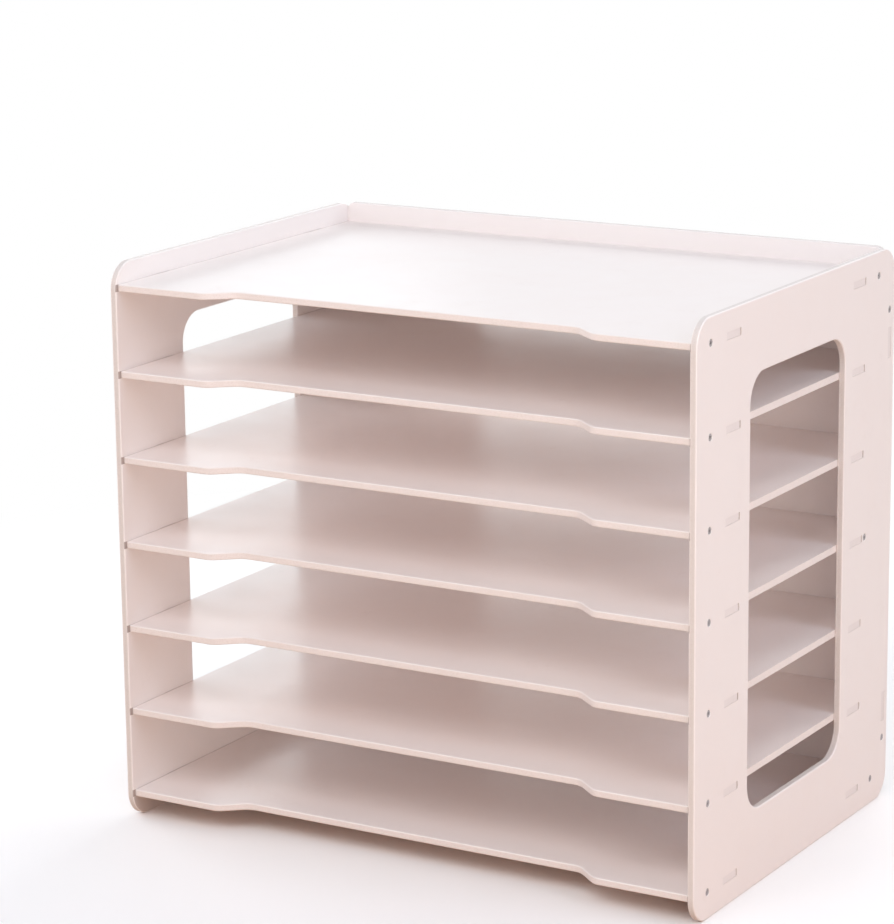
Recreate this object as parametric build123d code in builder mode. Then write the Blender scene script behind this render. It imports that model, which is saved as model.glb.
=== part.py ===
from build123d import *
import os

# A flat-pack paper tray: two windowed side panels carry a top board and a stack of shelves on
# through tenons and countersunk screws, and a windowed back panel closes the rear.
# Millimetres. +Z is up, the front is at -Y, and the origin is on the floor under the middle.

# Overall size
tray_width = 460.0
tray_depth = 316.0
compartment_count = 6
compartment_height = 57.25
foot_height = 16.5
rim_height = 15.0

# Boards
side_thickness = 5.0
shelf_thickness = 5.0
back_thickness = 5.0
edge_chamfer = 0.6

# Side panels
panel_corner_radius = 19.0
window_front_stile = 80.0
window_rear_stile = 84.0
window_bottom_rail = 55.0
window_top_rail = 50.0
window_corner_radius = 21.0

# Front edge of the top board and the shelves: two tabs with a finger recess between them
front_setback = 2.5
tab_width = 72.0
recess_run = 18.0
recess_depth = 15.0
recess_round = 12.0

# Back panel
back_inset = 5.5
back_corner_radius = 6.0
back_window_width = 220.0
back_window_bottom_rail = 55.0
back_window_top_rail = 50.0
back_window_corner_radius = 21.0

# Tenons and their mortises
tenon_length = 20.0
tenon_recess = 0.2
front_tenon_to_window = 16.5
rear_tenon_to_window = 12.0
back_tenon_length = 22.0
back_tenon_to_screw = 13.0
mortise_clearance = 0.15
mortise_slack = 1.2
back_gap = 0.2

# Screws, drawn with few sides because there are many of them
screw_sides = 12
screw_head_diameter = 5.0
screw_shank_diameter = 2.5
screw_length = 18.0
screw_head_rim = 0.2
screw_tip_chamfer = 0.9
screw_sink = 0.3
screw_seat_clearance = 0.05
screw_hole_clearance = 0.2
pilot_clearance = 0.05
pilot_extra_depth = 1.0
cross_length = 2.8
cross_width = 0.8
cross_depth = 1.1
front_screw_inset = 20.5
rear_screw_inset = 28.0
middle_screw_to_tenon = 6.0
back_screw_inset = 45.0

# Levels of the boards, from the lowest shelf up to the top board
board_count = compartment_count + 1
level_pitch = compartment_height + shelf_thickness
tray_height = foot_height + compartment_count * level_pitch + shelf_thickness + rim_height
lowest_level = foot_height + shelf_thickness / 2
levels = [lowest_level + index * level_pitch for index in range(board_count)]
top_index = board_count - 1
middle_index = top_index // 2

# Planes that the pieces meet at
outer_x = tray_width / 2
inner_x = outer_x - side_thickness
front_y = -tray_depth / 2
rear_y = tray_depth / 2
back_rear_y = rear_y - back_inset
back_middle_y = back_rear_y - back_thickness / 2
shelf_front_y = front_y + front_setback
shelf_rear_y = back_rear_y - back_thickness - back_gap
recess_y = shelf_front_y + recess_depth

# Windows
window_front_y = front_y + window_front_stile
window_rear_y = rear_y - window_rear_stile
window_depth = window_rear_y - window_front_y
window_height = tray_height - window_bottom_rail - window_top_rail
window_middle = ((window_front_y + window_rear_y) / 2, window_bottom_rail + window_height / 2)
back_window_height = tray_height - back_window_bottom_rail - back_window_top_rail
back_window_middle_z = back_window_bottom_rail + back_window_height / 2

# Tenon and screw places, from front to rear and from floor to top
front_tenon_y = window_front_y - front_tenon_to_window - tenon_length / 2
rear_tenon_y = window_rear_y + rear_tenon_to_window + tenon_length / 2
tenon_places = (front_tenon_y, rear_tenon_y)
front_screw_y = front_y + front_screw_inset
rear_screw_y = rear_y - rear_screw_inset
middle_screw_y = rear_tenon_y + tenon_length / 2 + middle_screw_to_tenon
back_screw_places = (back_screw_inset, tray_height - back_screw_inset)
back_tenon_offset = back_tenon_to_screw + back_tenon_length / 2
back_tenon_places = (back_screw_places[0] + back_tenon_offset, back_screw_places[1] - back_tenon_offset)

tenon_reach = side_thickness - tenon_recess
tenon_middles = (-inner_x - tenon_reach / 2, inner_x + tenon_reach / 2)

# Screws and the holes that take them, with a square cone under the head
screw_head_radius = screw_head_diameter / 2
screw_shank_radius = screw_shank_diameter / 2
screw_head_cone = screw_head_radius - screw_shank_radius
hole_radius = screw_shank_radius + screw_hole_clearance
head_depth = screw_sink + screw_head_rim + screw_head_cone
countersink_depth = head_depth + screw_seat_clearance - screw_hole_clearance
pilot_radius = screw_shank_radius + pilot_clearance
pilot_depth = screw_length + screw_sink - side_thickness + pilot_extra_depth

sides = {"left": -1, "right": 1}


def board_screws(index):
    """Depths at which screws enter each end of the board at this level."""
    if index in (0, top_index):
        return [front_screw_y, rear_screw_y]
    if index == middle_index:
        return [front_screw_y, middle_screw_y]
    return [front_screw_y]


def side_plane(side, x):
    """A plane across the tray at distance x from its middle, facing outwards, with its own Y upwards."""
    return Plane(origin=(side * x, 0, 0), x_dir=(0, side, 0), z_dir=(side, 0, 0))


def end_plane(side, y, z):
    """The end of a board at one side, facing outwards, centred on a screw."""
    return Plane(origin=(side * inner_x, y, z), x_dir=(0, side, 0), z_dir=(side, 0, 0))


def save(piece, name):
    piece.part.label = name
    export_step(piece.part, f"parts/{name}.step")


os.makedirs("parts", exist_ok=True)

# Side panels
screw_points = [(y, z) for index, z in enumerate(levels) for y in board_screws(index)]
screw_points += [(back_middle_y, z) for z in back_screw_places]
mortise_points = [(y + mortise_slack / 2, z) for y in tenon_places for z in levels]
back_mortise_points = [(back_middle_y, z) for z in back_tenon_places]

for side_name, side in sides.items():
    outer_face = side_plane(side, outer_x)
    with BuildPart() as side_panel:
        with BuildSketch(outer_face):
            with Locations((0, tray_height / 2)):
                RectangleRounded(tray_depth, tray_height, panel_corner_radius)
            with Locations((side * window_middle[0], window_middle[1])):
                RectangleRounded(window_depth, window_height, window_corner_radius, mode=Mode.SUBTRACT)
        extrude(amount=-side_thickness)
        faces_by_x = side_panel.faces().filter_by(Axis.X).sort_by(Axis.X)
        chamfer(faces_by_x[0].edges() + faces_by_x[-1].edges(), edge_chamfer)
        with BuildSketch(outer_face):
            with Locations(*[(side * y, z) for y, z in mortise_points]):
                Rectangle(
                    tenon_length + 2 * mortise_clearance + mortise_slack,
                    shelf_thickness + 2 * mortise_clearance,
                )
            with Locations(*[(side * y, z) for y, z in back_mortise_points]):
                Rectangle(
                    back_thickness + 2 * mortise_clearance,
                    back_tenon_length + 2 * mortise_clearance,
                )
            with Locations(*[(side * y, z) for y, z in screw_points]):
                RegularPolygon(hole_radius, screw_sides)
        extrude(amount=-side_thickness, mode=Mode.SUBTRACT)
        outer_edges = side_panel.faces().sort_by(Axis((0, 0, 0), (side, 0, 0)))[-1].edges()
        chamfer(outer_edges.filter_by(lambda edge: edge.length < hole_radius), countersink_depth)
    save(side_panel, f"{side_name}_side_panel")

# Back panel
back_height = tray_height - foot_height
with BuildPart() as back_panel:
    with BuildSketch(Plane.XZ.offset(-back_rear_y)) as back_outline:
        with Locations((0, foot_height + back_height / 2)):
            Rectangle(2 * inner_x, back_height)
        fillet(back_outline.vertices().group_by(Axis.Z)[-1], back_corner_radius)
        with Locations((0, back_window_middle_z)):
            RectangleRounded(
                back_window_width, back_window_height, back_window_corner_radius, mode=Mode.SUBTRACT
            )
    extrude(amount=back_thickness)
    back_faces = back_panel.faces().filter_by(Axis.Y).sort_by(Axis.Y)
    shown_edges = (back_faces[0].edges() + back_faces[-1].edges()).filter_by(
        lambda edge: abs(edge.center().X) < inner_x - edge_chamfer
        and edge.center().Z > foot_height + edge_chamfer
    )
    chamfer(shown_edges, edge_chamfer)
    with BuildSketch(Plane.XZ.offset(-back_rear_y)):
        with Locations(*[(x, z) for x in tenon_middles for z in back_tenon_places]):
            Rectangle(tenon_reach, back_tenon_length)
    extrude(amount=back_thickness)
    back_ends = [end_plane(side, back_middle_y, z) for side in sides.values() for z in back_screw_places]
    with BuildSketch(*back_ends):
        RegularPolygon(pilot_radius, screw_sides)
    extrude(amount=-pilot_depth, mode=Mode.SUBTRACT)
save(back_panel, "back_panel")

# Top board and shelves
tab_end_x = inner_x - tab_width
recess_x = tab_end_x - recess_run
board_names = [f"shelf_{top_index - index}" for index in range(top_index)] + ["top_board"]

for index, (board_name, level) in enumerate(zip(board_names, levels)):
    with BuildPart() as board:
        with BuildSketch(Plane.XY.offset(level - shelf_thickness / 2)) as board_outline:
            with BuildLine():
                Polyline(
                    (-inner_x, shelf_rear_y),
                    (-inner_x, shelf_front_y),
                    (-tab_end_x, shelf_front_y),
                    (-recess_x, recess_y),
                    (recess_x, recess_y),
                    (tab_end_x, shelf_front_y),
                    (inner_x, shelf_front_y),
                    (inner_x, shelf_rear_y),
                    close=True,
                )
            make_face()
            recess_corners = board_outline.vertices().filter_by(
                lambda corner: abs(corner.X) < inner_x - tab_width / 2
            )
            fillet(recess_corners, recess_round)
        extrude(amount=shelf_thickness)
        front_edges = board.edges().filter_by(
            lambda edge: edge.center().Y < recess_y + edge_chamfer
            and edge.length > shelf_thickness + edge_chamfer
        )
        chamfer(front_edges, edge_chamfer)
        with BuildSketch(Plane.XY.offset(level - shelf_thickness / 2)):
            with Locations(*[(x, y) for x in tenon_middles for y in tenon_places]):
                Rectangle(tenon_reach, tenon_length)
        extrude(amount=shelf_thickness)
        board_ends = [end_plane(side, y, level) for side in sides.values() for y in board_screws(index)]
        with BuildSketch(*board_ends):
            RegularPolygon(pilot_radius, screw_sides)
        extrude(amount=-pilot_depth, mode=Mode.SUBTRACT)
    save(board, board_name)

# Countersunk cross-head screws
with BuildPart() as screw:
    with BuildSketch(Plane.XY):
        RegularPolygon(screw_head_radius, screw_sides)
    extrude(amount=-screw_head_rim - screw_head_cone)
    chamfer(screw.edges().group_by(Axis.Z)[0], screw_head_cone)
    with BuildSketch(Plane.XY):
        RegularPolygon(screw_shank_radius, screw_sides)
    extrude(amount=-screw_length)
    chamfer(screw.edges().group_by(Axis.Z)[0], screw_tip_chamfer)
    with BuildSketch(Plane.XY):
        Rectangle(cross_length, cross_width)
        Rectangle(cross_width, cross_length)
    extrude(amount=-cross_depth, mode=Mode.SUBTRACT)

screw_rows = {name: [(y, level) for y in board_screws(index)]
              for index, (name, level) in enumerate(zip(board_names, levels))}
screw_rows["back_panel"] = [(back_middle_y, z) for z in back_screw_places]

for held_name, points in screw_rows.items():
    for side_name, side in sides.items():
        with BuildPart() as screws:
            with Locations(side_plane(side, outer_x - screw_sink)):
                with Locations(*[(side * y, z) for y, z in points]):
                    add(screw.part)
        save(screws, f"{held_name}_{side_name}_screws")
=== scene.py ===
import math

import bmesh
import bpy
from mathutils import Matrix, Vector


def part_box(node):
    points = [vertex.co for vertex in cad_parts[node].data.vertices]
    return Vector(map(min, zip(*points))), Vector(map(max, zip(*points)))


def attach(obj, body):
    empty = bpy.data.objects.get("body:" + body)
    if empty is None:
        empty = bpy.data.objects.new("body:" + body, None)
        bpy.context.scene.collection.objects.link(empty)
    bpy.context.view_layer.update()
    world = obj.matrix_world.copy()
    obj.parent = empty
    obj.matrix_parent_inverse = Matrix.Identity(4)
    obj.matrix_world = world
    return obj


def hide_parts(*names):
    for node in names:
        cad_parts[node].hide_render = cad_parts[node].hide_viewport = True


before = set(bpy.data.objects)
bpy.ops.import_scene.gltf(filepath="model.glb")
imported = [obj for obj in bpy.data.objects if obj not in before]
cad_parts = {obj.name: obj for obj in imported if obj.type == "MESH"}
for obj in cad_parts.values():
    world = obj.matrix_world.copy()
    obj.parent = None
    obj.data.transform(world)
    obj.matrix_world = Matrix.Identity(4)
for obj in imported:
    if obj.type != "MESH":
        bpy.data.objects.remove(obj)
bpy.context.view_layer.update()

MM = 0.001

# Finishes, as linear colours
WHITE = (1.0, 1.0, 1.0, 1.0)
BOARD_SKIN = (0.905, 0.852, 0.838, 1.0)
BOARD_SKIN_WARM = (0.894, 0.824, 0.802, 1.0)
# One board's routed core: darker on the panels as painted shade, lighter on the shelves as painted light
PANEL_CORE_SHADED = (0.765, 0.715, 0.692, 1.0)
SHELF_CORE_LIT = (0.885, 0.818, 0.792, 1.0)
# Painted highlight for the boards' eased corners
EASED_HIGHLIGHT = (0.930, 0.880, 0.868, 1.0)
BOARD_PORE = (0.520, 0.400, 0.350, 1.0)
TENON_END = (0.850, 0.797, 0.790, 1.0)
# Colour of the painted shade at the joints and on the panels' inner feet
JOINT_SHADE = (0.300, 0.225, 0.200, 1.0)
SCREW_METAL = (0.520, 0.470, 0.470, 1.0)
SCREW_GRIME = (0.160, 0.138, 0.138, 1.0)

# Noises, each as scale per metre, detail and roughness
WIDE_CLOUD = (5.5, 3.0, 0.55)
SMALL_CLOUD = (46.0, 4.0, 0.6)
SATIN_GRAIN = (1500.0, 2.0, 0.6)
PEBBLE = (420.0, 2.0, 0.5)
CUTTER_RIPPLE = (900.0, 2.0, 0.55)
FINGERPRINTS = (34.0, 5.0, 0.62)
RUBBING = (210.0, 3.0, 0.6)
TURNED_RINGS = (1800.0, 3.0, 0.6)

# Span of each noise over which its effect grows from nothing to full
WIDE_CLOUD_SPAN = (0.32, 0.70)
SMALL_CLOUD_SPAN = (0.35, 0.68)
FINGERPRINT_SPAN = (0.54, 0.74)
RUBBING_SPAN = (0.38, 0.70)
DULL_RING_SPAN = (0.35, 0.75)
ROUGH_RING_SPAN = (0.20, 0.80)

# Pressed skin of the boards
BOARD_WARMTH = 0.55
WIDE_CLOUD_SHARE = 0.65
SMALL_CLOUD_SHARE = 0.35
SATIN_ROUGHNESS = (0.29, 0.37)
GRAIN_ROUGHNESS = 0.06
PEBBLE_HEIGHT = 0.6
BOARD_IOR = 1.46
BOARD_BUMP = {"Strength": 0.12, "Distance": 0.2 * MM}

# Routed edges: a point faces 1 on a board's broad faces and 0 on its edges
EDGE_FACING = (0.55, 0.30)
EASED_FACING_RISE = (0.40, 0.62)
EASED_FACING_FALL = (0.95, 0.80)
RIPPLE_STRETCH = 0.93
CELL_SCALE = 1500.0
CELL_WALL = (0.10, 0.42)
CORE_SHARE = 0.85
PORE_SHARE = 0.35
# Share of the painted highlight on the eased corners
EASED_HIGHLIGHT_SHARE = 0.8
EDGE_ROUGHER = 0.16
CELL_HEIGHT = 0.7
EDGE_HEIGHT = 1.6

# Handling marks
WANDER_SCALE = 18.0
WANDER_DETAIL = 2.0
WANDER_PUSH = 0.05
MARK_SHARE = 0.06
MARK_ROUGHER = 0.08

# Where the boards meet, read from the frame in metres. Six shelves stand under the top board.
SHELF_COUNT = 6
OUTER_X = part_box("right_side_panel")[1].x
INNER_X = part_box("right_side_panel")[0].x
SHELF_FRONT_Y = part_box("shelf_6")[0].y
LOWEST_LEVEL = (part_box("shelf_6")[0].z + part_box("shelf_6")[1].z) / 2.0
LEVEL_PITCH = (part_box("top_board")[0].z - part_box("shelf_6")[0].z) / SHELF_COUNT

# The side windows' middle and half size, in depth and height
WINDOW_MIDDLE = (-2.0 * MM, 207.5 * MM)
WINDOW_HALF = (76.0 * MM, 152.5 * MM)

# Painted shade at the joints and feet, painted highlight on the panel edges, sealed tenon ends, and the
# distances over which they fade
PANEL_SHADE_SHARE = 0.8
SHELF_SHADE_SHARE = 0.45
FOOT_SHADE_SHARE = 0.55
SEALED_SHARE = 0.9
EDGE_LIGHT_SHARE = (0.35, 1.0)
EDGE_LIGHT_FADE = (2.1 * MM, 0.8 * MM)
TENON_FADE = (-1.3 * MM, -0.7 * MM)
JOINT_FADE = (-0.9 * MM, -0.27 * MM)
INNER_FACE_FADE = (0.4 * MM, 0.1 * MM)
WINDOW_FADE = (1.0 * MM, -1.0 * MM)
GROOVE_SIDE_FADE = (0.9 * MM, 0.3 * MM)
GROOVE_FRONT_FADE = (0.8 * MM, 0.2 * MM)
GROOVE_LEVEL_FADE = (2.9 * MM, 2.32 * MM)
FOOT_FADE = (-2.0 * MM, -3.0 * MM)

# Screws, in metres
SCREW_COLUMNS = 16
SCREW_HEAD = 2.5 * MM
SCREW_SHANK = 1.25 * MM
SCREW_RIM = 0.2 * MM
SCREW_RIM_SOFT = 0.07 * MM
SCREW_LENGTH = 18.0 * MM
SCREW_POINT = 3.5 * MM
SCREW_TWIST = math.radians(37.0)
SCREWS_PER_NODE = 2
SAME_PLACE_DIGITS = 6
THREAD_CORE = 0.85 * MM
THREAD_PITCH = 1.3 * MM
THREAD_FLANK = 0.36
THREAD_ROWS = 4
CROSS_ARM = 1.4 * MM
CROSS_HALF = 0.4 * MM
CROSS_DEPTH = 1.1 * MM
CROSS_TAPER = 0.55
CROSS_CORNER = 1.25
QUARTER_TURNS = ((1, 0), (0, 1), (-1, 0), (0, -1))
CRISP_ANGLE = math.radians(28.0)
DULL_SHARE = 0.5
GRIME_SHARE = 0.5
SCREW_ROUGHNESS = (0.30, 0.48)
SCREW_BUMP = {"Strength": 0.15, "Distance": 0.05 * MM}

# Floor and light: a lamp has a name, a place, a point that it faces, a size, a power and a tint
FLOOR_HALF = 6.0
FLOOR_FADE = (0.45, 1.0)
FLOOR_BOUNCE = (0.68, 0.455, 0.33, 1.0)
WALLS = (0.54, 0.56, 0.58, 1.0)
CEILING = (0.19, 0.20, 0.21, 1.0)
CEILING_FROM = (0.25, 0.60)
BOUNCES = 8
MIDDLE = (0.0, 0.0, 0.2)
LAMPS = (
    ("left_lamp", (-1.6, 0.05, 0.75), MIDDLE, (1.2, 1.0), 12.0, (0.95, 1.0, 1.06)),
    ("back_left_lamp", (-1.35, 1.3, 0.55), MIDDLE, (0.9, 0.7), 2.5, (0.90, 1.01, 1.04)),
    ("front_lamp", (0.3, -1.5, 1.7), MIDDLE, (1.6, 1.2), 16.2, (1.0, 0.99, 1.01)),
    ("front_left_lamp", (-0.8, -1.5, 1.35), MIDDLE, (1.4, 1.0), 5.0, (1.10, 0.96, 0.94)),
    ("right_lamp", (1.9, -0.2, 1.35), MIDDLE, (1.2, 1.2), 12.0, (0.94, 0.98, 1.13)),
    ("front_right_lamp", (1.5, -1.3, 0.35), MIDDLE, (1.2, 0.5), 6.0, (1.13, 0.98, 0.88)),
    ("back_lamp", (0.2, 1.7, 1.4), MIDDLE, (1.4, 0.9), 19.8, (1.0, 1.0, 1.0)),
)
# Only this lamp shows in the sheen of the boards.
# The others would burn white streaks there when seen from other sides.
SHEEN_LAMP = "back_left_lamp"

# Camera, from the straight edges of the tray in the photograph
CAMERA_PLACE = (1.1831, -2.0727, 0.8311)
CAMERA_YAW = math.radians(30.75)
CAMERA_PITCH = math.radians(-13.47)
CAMERA_ROLL = math.radians(-0.68)
CAMERA_LEVEL = math.radians(90.0)
CAMERA_FOCAL_PIXELS = 3420.2
IMAGE_LONG_SIDE = 924
SENSOR = 36.0

# Kinds of group sockets, and the Mix node's sockets for colours
FLOAT, COLOUR, VECTOR = "NodeSocketFloat", "NodeSocketColor", "NodeSocketVector"
MIX_FACTOR, MIX_FIRST, MIX_SECOND, MIX_RESULT = 0, 6, 7, 2


# Shader nodes
def place(tree, kind, feeds=None, **options):
    """Adds one node, sets its options, then sets or links its input sockets."""
    node = tree.nodes.new(kind)
    for name, value in options.items():
        setattr(node, name, value)
    for socket, value in (feeds or {}).items():
        if isinstance(value, bpy.types.NodeSocket):
            tree.links.new(value, node.inputs[socket])
        else:
            node.inputs[socket].default_value = value
    return node


def maths(tree, operation, *terms):
    """One math node, as its output."""
    return place(tree, "ShaderNodeMath", dict(enumerate(terms)), operation=operation).outputs[0]


def times(tree, first, second):
    """The product of two values."""
    return maths(tree, "MULTIPLY", first, second)


def minus(tree, first, second):
    """The first value less the second."""
    return maths(tree, "SUBTRACT", first, second)


def apart(tree, first, second):
    """How far two values are apart."""
    return maths(tree, "ABSOLUTE", minus(tree, first, second))


def with_share(tree, base, extra, share):
    """A value with a share of another added to it."""
    return maths(tree, "MULTIPLY_ADD", extra, share, base)


def vector_sum(tree, operation, first, second):
    """Two vectors added, or the second taken from the first."""
    feeds = {0: first, 1: second}
    return place(tree, "ShaderNodeVectorMath", feeds, operation=operation).outputs["Vector"]


def scaled(tree, vector, factor):
    """A vector times a factor."""
    feeds = {0: vector, "Scale": factor}
    return place(tree, "ShaderNodeVectorMath", feeds, operation="SCALE").outputs["Vector"]


def reach(tree, vector, axis):
    """How far a vector reaches along an axis."""
    feeds = {0: vector, 1: axis}
    return place(tree, "ShaderNodeVectorMath", feeds, operation="DOT_PRODUCT").outputs["Value"]


def ramp(tree, value, span, to=(0.0, 1.0), smooth=True):
    """Maps a value from one span to another and clamps it there."""
    feeds = {"Value": value, "From Min": span[0], "From Max": span[1],
             "To Min": to[0], "To Max": to[1]}
    kind = "SMOOTHSTEP" if smooth else "LINEAR"
    return place(tree, "ShaderNodeMapRange", feeds, interpolation_type=kind).outputs["Result"]


def fade(tree, value, start, span):
    """Rises from 0 to 1 between two distances from a start."""
    return ramp(tree, value, (start + span[0], start + span[1]))


def blend(tree, factor, first, second):
    """Mixes two colours and gives the result."""
    feeds = {MIX_FACTOR: factor, MIX_FIRST: first, MIX_SECOND: second}
    return place(tree, "ShaderNodeMix", feeds, data_type="RGBA").outputs[MIX_RESULT]


def cloud(tree, where, scale, detail, roughness):
    """Soft noise between 0 and 1."""
    feeds = {"Vector": where, "Scale": scale, "Detail": detail, "Roughness": roughness}
    return place(tree, "ShaderNodeTexNoise", feeds).outputs["Fac"]


# Effects that the materials share
def new_group(name, takes, gives):
    """An empty shader node group with named sockets, and its input and output nodes."""
    group = bpy.data.node_groups.new(name, "ShaderNodeTree")
    for socket, kind in takes.items():
        group.interface.new_socket(socket, in_out="INPUT", socket_type=kind)
    for socket, kind in gives.items():
        group.interface.new_socket(socket, in_out="OUTPUT", socket_type=kind)
    entry = group.nodes.new("NodeGroupInput").outputs
    leave = group.nodes.new("NodeGroupOutput").inputs
    return group, entry, leave


def board_skin_group():
    """The smooth pressed skin of a foamed board: faint clouds of warmth and a fine satin grain."""
    group, entry, leave = new_group(
        "board_skin",
        {"Place": VECTOR, "Skin": COLOUR, "Warm skin": COLOUR, "Warmth": FLOAT},
        {"Colour": COLOUR, "Roughness": FLOAT, "Height": FLOAT},
    )
    where = entry["Place"]
    wide = ramp(group, cloud(group, where, *WIDE_CLOUD), WIDE_CLOUD_SPAN)
    small = ramp(group, cloud(group, where, *SMALL_CLOUD), SMALL_CLOUD_SPAN)
    patches = with_share(group, times(group, wide, WIDE_CLOUD_SHARE), small, SMALL_CLOUD_SHARE)
    tint = times(group, patches, entry["Warmth"])
    grain = cloud(group, where, *SATIN_GRAIN)
    pebble = cloud(group, where, *PEBBLE)
    satin = ramp(group, patches, (0.0, 1.0), SATIN_ROUGHNESS, smooth=False)
    group.links.new(blend(group, tint, entry["Skin"], entry["Warm skin"]), leave["Colour"])
    group.links.new(with_share(group, satin, grain, GRAIN_ROUGHNESS), leave["Roughness"])
    group.links.new(with_share(group, grain, pebble, PEBBLE_HEIGHT), leave["Height"])
    return group


def sawn_edge_group():
    """A board's routed edge: masks for it and its eased corner, cutter ripple and open cells."""
    group, entry, leave = new_group(
        "sawn_edge",
        {"Place": VECTOR, "Normal": VECTOR, "Across": VECTOR},
        {"Edge": FLOAT, "Eased": FLOAT, "Ripple": FLOAT, "Cells": FLOAT},
    )
    where, across = entry["Place"], entry["Across"]
    broad = maths(group, "ABSOLUTE", reach(group, entry["Normal"], across))
    rise = ramp(group, broad, EASED_FACING_RISE)
    fall = ramp(group, broad, EASED_FACING_FALL)
    depth = scaled(group, across, reach(group, where, across))
    drawn_out = vector_sum(group, "SUBTRACT", where, scaled(group, depth, RIPPLE_STRETCH))
    cells = place(group, "ShaderNodeTexVoronoi", {"Vector": where, "Scale": CELL_SCALE})
    group.links.new(ramp(group, broad, EDGE_FACING), leave["Edge"])
    group.links.new(times(group, rise, fall), leave["Eased"])
    group.links.new(cloud(group, drawn_out, *CUTTER_RIPPLE), leave["Ripple"])
    group.links.new(ramp(group, cells.outputs["Distance"], CELL_WALL), leave["Cells"])
    return group


def handling_group():
    """Fingerprints and faint rubbing, as a mask."""
    group, entry, leave = new_group("handling", {"Place": VECTOR}, {"Marks": FLOAT})
    where = entry["Place"]
    feeds = {"Vector": where, "Scale": WANDER_SCALE, "Detail": WANDER_DETAIL}
    wander = place(group, "ShaderNodeTexNoise", feeds).outputs["Color"]
    bent = vector_sum(group, "ADD", where, scaled(group, wander, WANDER_PUSH))
    prints = ramp(group, cloud(group, bent, *FINGERPRINTS), FINGERPRINT_SPAN)
    rubbed = ramp(group, cloud(group, where, *RUBBING), RUBBING_SPAN)
    group.links.new(times(group, prints, rubbed), leave["Marks"])
    return group


board_skin = board_skin_group()
sawn_edge = sawn_edge_group()
handling = handling_group()


# Materials
def new_material(name):
    """A new material, its node tree, its Principled shader and each point's place on the object."""
    material = bpy.data.materials.new(name)
    material.use_nodes = True
    tree = material.node_tree
    shader = next(node for node in tree.nodes if node.type == "BSDF_PRINCIPLED")
    where = place(tree, "ShaderNodeTexCoord").outputs["Object"]
    return material, tree, shader, where


def put_group(tree, group, feeds):
    """Places a shared group in a material and gives its outputs."""
    return place(tree, "ShaderNodeGroup", feeds, node_tree=group).outputs


def from_middle(tree, where):
    """Each point's distance from the tray's middle plane, its depth and its height."""
    axes = place(tree, "ShaderNodeSeparateXYZ", {0: where}).outputs
    return maths(tree, "ABSOLUTE", axes["X"]), axes["Y"], axes["Z"]


def tenon_ends(tree, where):
    """1 on the ends of the tenons, which are sanded and sealed with the panel round them."""
    out, _, _ = from_middle(tree, where)
    return fade(tree, out, OUTER_X, TENON_FADE)


def shelf_joint_painted_shade(tree, where):
    """1 along a shelf's end at its joint with the panel, but not in the window: painted shade in the
    joint.
    """
    out, depth, height = from_middle(tree, where)
    line = times(tree, fade(tree, out, INNER_X, JOINT_FADE), fade(tree, out, INNER_X, INNER_FACE_FADE))
    in_window = 1.0
    for value, middle, half in zip((depth, height), WINDOW_MIDDLE, WINDOW_HALF):
        inside = fade(tree, apart(tree, value, middle), half, WINDOW_FADE)
        in_window = times(tree, in_window, inside)
    return times(tree, line, minus(tree, 1.0, in_window))


def groove_mouth_painted_shade(tree, where):
    """1 on a side panel's inner corner in front of each shelf, where the joint opens to the front:
    painted shade there.
    """
    out, depth, height = from_middle(tree, where)
    inside = fade(tree, out, INNER_X, GROOVE_SIDE_FADE)
    front = fade(tree, depth, SHELF_FRONT_Y, GROOVE_FRONT_FADE)
    steps = maths(tree, "DIVIDE", minus(tree, height, LOWEST_LEVEL), LEVEL_PITCH)
    off_level = times(tree, apart(tree, steps, maths(tree, "ROUND", steps)), LEVEL_PITCH)
    return times(tree, ramp(tree, off_level, GROOVE_LEVEL_FADE), times(tree, inside, front))


def foot_painted_shade(tree, where):
    """1 on a side panel's inner face below the lowest shelf, where shade is painted."""
    out, _, height = from_middle(tree, where)
    inner_face = fade(tree, out, INNER_X, INNER_FACE_FADE)
    return times(tree, inner_face, fade(tree, height, LOWEST_LEVEL, FOOT_FADE))


def panel_painted_shades(tree, where):
    """Painted shade at the groove mouths and on the inner feet of a side panel."""
    # Painted shade on the inner feet, below the lowest shelf, at its share
    grime = times(tree, foot_painted_shade(tree, where), FOOT_SHADE_SHARE)
    return maths(tree, "MAXIMUM", groove_mouth_painted_shade(tree, where), grime)


def panel_painted_edge_light(tree, where):
    """1 in the middle of a side panel's thickness, falling towards its two faces: the edge painted
    lighter near its corners, a painted highlight.
    """
    out, _, _ = from_middle(tree, where)
    return ramp(tree, apart(tree, out, (INNER_X + OUTER_X) / 2.0), EDGE_LIGHT_FADE, EDGE_LIGHT_SHARE)


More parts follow.
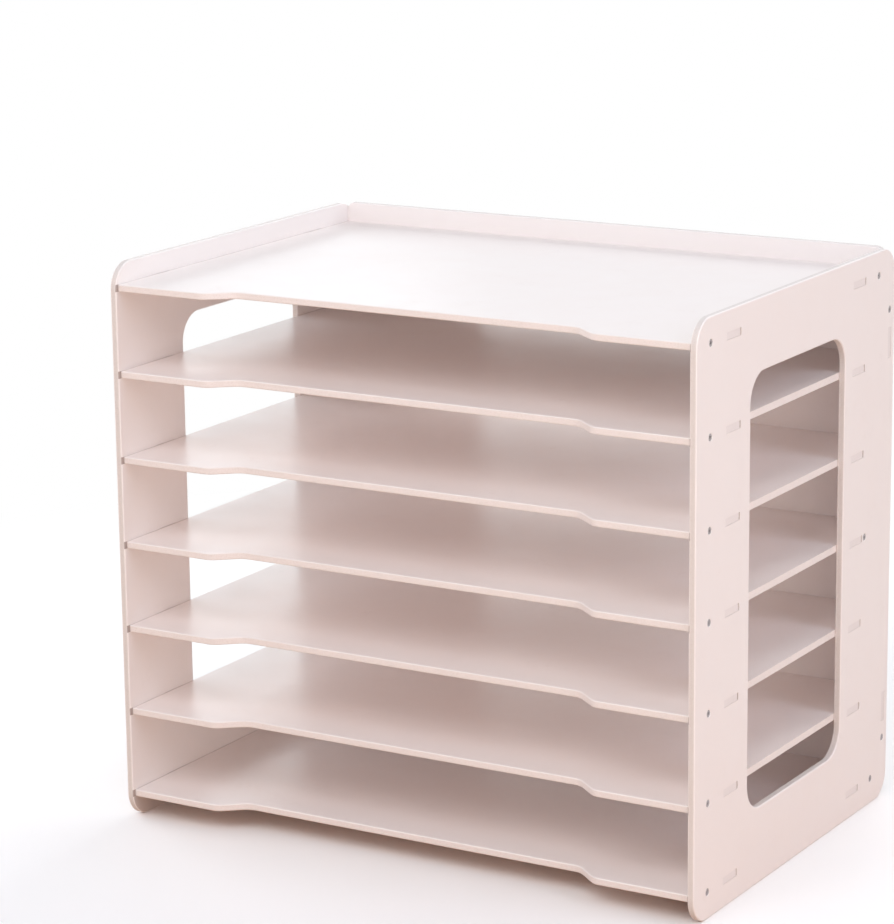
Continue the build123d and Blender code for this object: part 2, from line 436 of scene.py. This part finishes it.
def board_material(name, across, core, painted_edge_light=None, shade=None, sealed=False):
    """Pale foamed board: satin skin on broad faces, routed core on edges, painted highlight on eased
    corners.

    The core follows the painted edge light if given, the shade is a painted-shade mask with its share,
    and a sealed board has tenon ends.
    """
    material, tree, shader, where = new_material(name)
    normal = place(tree, "ShaderNodeNewGeometry").outputs["True Normal"]
    skin = put_group(tree, board_skin, {
        "Place": where, "Skin": BOARD_SKIN, "Warm skin": BOARD_SKIN_WARM, "Warmth": BOARD_WARMTH})
    edge = put_group(tree, sawn_edge, {"Place": where, "Normal": normal, "Across": across})
    marks = put_group(tree, handling, {"Place": where})["Marks"]

    # On the side panels the core gives way to the skin near both faces: a painted highlight along the
    # edge's corners
    core_share = times(tree, edge["Edge"], painted_edge_light(tree, where) if painted_edge_light else CORE_SHARE)
    colour = blend(tree, core_share, skin["Colour"], core)
    pores = times(tree, minus(tree, 1.0, edge["Cells"]), edge["Edge"])
    colour = blend(tree, times(tree, pores, PORE_SHARE), colour, BOARD_PORE)
    # Eased corners are painted lighter: a painted highlight along every edge
    colour = blend(tree, times(tree, edge["Eased"], EASED_HIGHLIGHT_SHARE), colour, EASED_HIGHLIGHT)
    if sealed:
        sealed_share = times(tree, tenon_ends(tree, where), SEALED_SHARE)
        colour = blend(tree, sealed_share, colour, TENON_END)
    # Painted shade from the given mask, at its share
    if shade:
        mask, share = shade
        colour = blend(tree, times(tree, mask(tree, where), share), colour, JOINT_SHADE)
    colour = blend(tree, times(tree, marks, MARK_SHARE), colour, BOARD_PORE)
    tree.links.new(colour, shader.inputs["Base Color"])

    rough_edge = with_share(tree, skin["Roughness"], edge["Edge"], EDGE_ROUGHER)
    roughness = with_share(tree, rough_edge, marks, MARK_ROUGHER)
    tree.links.new(roughness, shader.inputs["Roughness"])

    routed = with_share(tree, edge["Ripple"], edge["Cells"], CELL_HEIGHT)
    worked = times(tree, edge["Edge"], routed)
    height = with_share(tree, skin["Height"], worked, EDGE_HEIGHT)
    bump = place(tree, "ShaderNodeBump", {"Height": height, **BOARD_BUMP})
    tree.links.new(bump.outputs["Normal"], shader.inputs["Normal"])
    shader.inputs["IOR"].default_value = BOARD_IOR
    return material


def screw_material():
    """Dull plated steel with turned rings and grime."""
    material, tree, shader, where = new_material("screw_steel")
    marks = put_group(tree, handling, {"Place": where})["Marks"]
    turned = cloud(tree, where, *TURNED_RINGS)
    dulled = ramp(tree, turned, DULL_RING_SPAN, (0.0, DULL_SHARE))
    colour = blend(tree, dulled, SCREW_METAL, SCREW_GRIME)
    colour = blend(tree, times(tree, marks, GRIME_SHARE), colour, SCREW_GRIME)
    tree.links.new(colour, shader.inputs["Base Color"])
    roughness = ramp(tree, turned, ROUGH_RING_SPAN, SCREW_ROUGHNESS)
    tree.links.new(roughness, shader.inputs["Roughness"])
    bump = place(tree, "ShaderNodeBump", {"Height": turned, **SCREW_BUMP})
    tree.links.new(bump.outputs["Normal"], shader.inputs["Normal"])
    shader.inputs["Metallic"].default_value = 1.0
    return material


panel_finish = board_material(
    "panel_board", (1.0, 0.0, 0.0), PANEL_CORE_SHADED,
    painted_edge_light=panel_painted_edge_light, shade=(panel_painted_shades, PANEL_SHADE_SHARE))
back_finish = board_material("back_board", (0.0, 1.0, 0.0), PANEL_CORE_SHADED, sealed=True)
shelf_finish = board_material(
    "shelf_board", (0.0, 0.0, 1.0), SHELF_CORE_LIT,
    shade=(shelf_joint_painted_shade, SHELF_SHADE_SHARE), sealed=True)
screw_finish = screw_material()


def finish_of(node):
    """The finish of a board's node, or of a screw's."""
    if node.endswith("side_panel"):
        return panel_finish
    if node == "back_panel":
        return back_finish
    if node.endswith("screws"):
        return screw_finish
    return shelf_finish


def curve_softener():
    """A modifier's node tree that shades the routed curves smoothly and keeps the corners crisp."""
    group = bpy.data.node_groups.new("soft_curves", "GeometryNodeTree")
    for side in ("INPUT", "OUTPUT"):
        group.interface.new_socket("Geometry", in_out=side, socket_type="NodeSocketGeometry")
    entry = group.nodes.new("NodeGroupInput").outputs[0]
    angle = group.nodes.new("GeometryNodeInputMeshEdgeAngle").outputs["Unsigned Angle"]
    feeds = {0: angle, 1: CRISP_ANGLE}
    gentle = place(group, "FunctionNodeCompare", feeds, operation="LESS_THAN").outputs[0]
    faces = place(group, "GeometryNodeSetShadeSmooth", {"Geometry": entry}, domain="FACE")
    feeds = {"Geometry": faces.outputs[0], "Shade Smooth": gentle}
    edges = place(group, "GeometryNodeSetShadeSmooth", feeds, domain="EDGE")
    place(group, "NodeGroupOutput", {0: edges.outputs[0]})
    return group


soft_curves = curve_softener()
for name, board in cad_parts.items():
    for material_slot in board.material_slots:
        material_slot.material = finish_of(name)
    board.modifiers.new("soft_curves", "NODES").node_group = soft_curves


# Screws
def ring(mesh, radius_at, z):
    """One ring of points round the screw's axis."""
    turns = [2.0 * math.pi * index / SCREW_COLUMNS for index in range(SCREW_COLUMNS)]
    return [mesh.verts.new((radius_at(turn) * math.cos(turn), radius_at(turn) * math.sin(turn), z))
            for turn in turns]


def bridge(mesh, upper, lower):
    """Quads between two loops with as many points."""
    count = len(upper)
    for index in range(count):
        after = (index + 1) % count
        mesh.faces.new((upper[index], lower[index], lower[after], upper[after]))


def thread_radius(z):
    """Radius of the thread at each turn of the screw, at one depth, thinning to the point."""
    left = (z + SCREW_LENGTH) / SCREW_POINT
    taper = min(1.0, max(0.0, left))

    def radius(turn):
        phase = (z / THREAD_PITCH - turn / (2.0 * math.pi)) % 1.0
        crest = max(0.0, 1.0 - abs(phase - 0.5) / THREAD_FLANK)
        return taper * (THREAD_CORE + (SCREW_SHANK - THREAD_CORE) * crest)

    return radius


def cross_loop(mesh, arm, half, z):
    """The outline of the cross recess at one depth, its inner corners cut off by one extra point."""
    corner = half * CROSS_CORNER
    quarter = [(arm, -half), (arm, half), (corner, half), (half, corner)]
    points = []
    for c, s in QUARTER_TURNS:
        points += [(x * c - y * s, x * s + y * c) for x, y in quarter]
    return [mesh.verts.new((x, y, z)) for x, y in points]


def head_top(mesh, rim):
    """The flat top of a head inside its rim, with a cross recess that narrows to its floor."""
    mouth = cross_loop(mesh, CROSS_ARM, CROSS_HALF, 0.0)
    floor = cross_loop(mesh, CROSS_ARM * CROSS_TAPER, CROSS_HALF * CROSS_TAPER, -CROSS_DEPTH)
    bridge(mesh, mouth, floor)
    mesh.faces.new(floor)
    bound = []
    for loop in (rim, mouth):
        for pair in zip(loop[-1:] + loop[:-1], loop):
            bound.append(mesh.edges.get(pair) or mesh.edges.new(pair))
    bmesh.ops.triangle_fill(mesh, edges=bound, use_beauty=True)


def screw_mesh():
    """A countersunk cross-head wood screw, with its head's top at the origin and its point down -Z."""
    mesh = bmesh.new()
    cone = SCREW_HEAD - SCREW_SHANK
    rings = [
        ring(mesh, lambda turn: SCREW_HEAD - SCREW_RIM_SOFT, 0.0),
        ring(mesh, lambda turn: SCREW_HEAD, -SCREW_RIM_SOFT),
        ring(mesh, lambda turn: SCREW_HEAD, -SCREW_RIM),
        ring(mesh, lambda turn: SCREW_SHANK, -SCREW_RIM - cone),
    ]
    depth = -SCREW_RIM - cone - THREAD_PITCH
    while depth > -SCREW_LENGTH:
        rings.append(ring(mesh, thread_radius(depth), depth))
        depth -= THREAD_PITCH / THREAD_ROWS
    for upper, lower in zip(rings, rings[1:]):
        bridge(mesh, upper, lower)
    tip = mesh.verts.new((0.0, 0.0, -SCREW_LENGTH))
    last = rings[-1]
    for index in range(SCREW_COLUMNS):
        mesh.faces.new((last[index], tip, last[(index + 1) % SCREW_COLUMNS]))
    head_top(mesh, rings[0])
    bmesh.ops.recalc_face_normals(mesh, faces=mesh.faces)
    shape = bpy.data.meshes.new("wood_screw")
    mesh.to_mesh(shape)
    mesh.free()
    return shape


def screw_places(node):
    """Middle of each head's top in a node of screws, read from the node's box."""
    low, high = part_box(node)
    outer = low.x if node.split("_screws")[0].endswith("left") else high.x
    depths = {round(y, SAME_PLACE_DIGITS) for y in (low.y + SCREW_HEAD, high.y - SCREW_HEAD)}
    heights = {round(z, SAME_PLACE_DIGITS) for z in (low.z + SCREW_HEAD, high.z - SCREW_HEAD)}
    return [Vector((outer, y, z)) for y in sorted(depths) for z in sorted(heights)]


def threaded_screws(node, shape, turn_start):
    """Replaces a node of plain screws with threaded ones, each turned home to its own angle."""
    mesh = bmesh.new()
    for index, spot in enumerate(screw_places(node)):
        outward = Vector((1.0 if spot.x > 0 else -1.0, 0.0, 0.0))
        stand = outward.to_track_quat("Z", "Y").to_matrix().to_4x4()
        twist = Matrix.Rotation(SCREW_TWIST * (turn_start + index), 4, "Z")
        before = set(mesh.verts)
        mesh.from_mesh(shape)
        fresh = [vert for vert in mesh.verts if vert not in before]
        bmesh.ops.transform(mesh, matrix=Matrix.Translation(spot) @ stand @ twist, verts=fresh)
    joined = bpy.data.meshes.new(node.replace("screws", "threaded_screws"))
    mesh.to_mesh(joined)
    mesh.free()
    joined.materials.append(screw_finish)
    screws = bpy.data.objects.new(joined.name, joined)
    bpy.context.scene.collection.objects.link(screws)
    screws.modifiers.new("soft_curves", "NODES").node_group = soft_curves
    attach(screws, "root")
    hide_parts(node)


one_screw = screw_mesh()
screw_nodes = sorted(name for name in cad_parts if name.endswith("_screws"))
for order, name in enumerate(screw_nodes):
    threaded_screws(name, one_screw, SCREWS_PER_NODE * order)


# Floor, light and camera
def backdrop_rays(tree):
    """1 where a ray should see the plain backdrop: from the camera, in a reflection or through glass."""
    rays = place(tree, "ShaderNodeLightPath").outputs
    seen = maths(tree, "MAXIMUM", rays["Is Camera Ray"], rays["Is Transmission Ray"])
    return maths(tree, "MAXIMUM", seen, rays["Is Glossy Ray"])


def floor_material():
    """Plain and pale. It fades to the backdrop's white far from the tray and keeps the shadow near it."""
    material = bpy.data.materials.new("studio_floor")
    material.use_nodes = True
    tree = material.node_tree
    tree.nodes.clear()
    where = place(tree, "ShaderNodeTexCoord").outputs["Object"]
    away = place(tree, "ShaderNodeVectorMath", {0: where}, operation="LENGTH").outputs["Value"]
    far = ramp(tree, away, FLOOR_FADE)
    lit = place(tree, "ShaderNodeBsdfDiffuse", {"Color": WHITE}).outputs[0]
    glow = place(tree, "ShaderNodeEmission", {"Color": WHITE}).outputs[0]
    seen = place(tree, "ShaderNodeMixShader", {0: far, 1: lit, 2: glow}).outputs[0]
    bounce = place(tree, "ShaderNodeBsdfDiffuse", {"Color": FLOOR_BOUNCE}).outputs[0]
    feeds = {0: backdrop_rays(tree), 1: bounce, 2: seen}
    surface = place(tree, "ShaderNodeMixShader", feeds).outputs[0]
    place(tree, "ShaderNodeOutputMaterial", {"Surface": surface})
    return material


def studio_floor():
    """A wide square floor under the tray."""
    half = FLOOR_HALF
    corners = [(-half, -half, 0), (half, -half, 0), (half, half, 0), (-half, half, 0)]
    mesh = bpy.data.meshes.new("studio_floor")
    mesh.from_pydata(corners, [], [(0, 1, 2, 3)])
    mesh.materials.append(floor_material())
    floor = bpy.data.objects.new("studio_floor", mesh)
    bpy.context.scene.collection.objects.link(floor)


def soft_lamp(name, where, aim, size, power, tint):
    """A large rectangular lamp that faces a point."""
    lamp = bpy.data.lights.new(name, "AREA")
    lamp.shape = "RECTANGLE"
    lamp.size, lamp.size_y = size
    lamp.energy = power
    lamp.color = tint
    holder = bpy.data.objects.new(name, lamp)
    holder.location = where
    holder.rotation_mode = "QUATERNION"
    holder.rotation_quaternion = (Vector(aim) - Vector(where)).to_track_quat("-Z", "Y")
    holder.visible_camera = False
    holder.visible_glossy = name == SHEEN_LAMP
    bpy.context.scene.collection.objects.link(holder)


def studio_light():
    """Soft lamps on all sides, pale walls and a darker ceiling."""
    for lamp in LAMPS:
        soft_lamp(*lamp)
    world = bpy.data.worlds.new("studio")
    bpy.context.scene.world = world
    world.use_nodes = True
    tree = world.node_tree
    tree.nodes.clear()
    towards = place(tree, "ShaderNodeTexCoord").outputs["Generated"]
    rise = place(tree, "ShaderNodeSeparateXYZ", {0: towards}).outputs["Z"]
    walls_to_ceiling = blend(tree, ramp(tree, rise, CEILING_FROM), WALLS, CEILING)
    colour = blend(tree, backdrop_rays(tree), walls_to_ceiling, WHITE)
    sky = place(tree, "ShaderNodeBackground", {"Color": colour, "Strength": 1.0})
    place(tree, "ShaderNodeOutputWorld", {"Surface": sky.outputs[0]})


def photo_camera():
    """The camera of the photograph: turned round, raised from looking down, then tilted."""
    lens = bpy.data.cameras.new("photo_camera")
    lens.sensor_width = SENSOR
    lens.lens = CAMERA_FOCAL_PIXELS * SENSOR / IMAGE_LONG_SIDE
    camera = bpy.data.objects.new("photo_camera", lens)
    yaw = Matrix.Rotation(CAMERA_YAW, 4, "Z")
    pitch = Matrix.Rotation(CAMERA_LEVEL + CAMERA_PITCH, 4, "X")
    roll = Matrix.Rotation(CAMERA_ROLL, 4, "Z")
    camera.matrix_world = Matrix.Translation(CAMERA_PLACE) @ yaw @ pitch @ roll
    bpy.context.scene.collection.objects.link(camera)
    bpy.context.scene.camera = camera


studio_floor()
studio_light()
photo_camera()
bpy.context.scene.view_settings.view_transform = "Standard"
bpy.context.scene.cycles.diffuse_bounces = BOUNCES
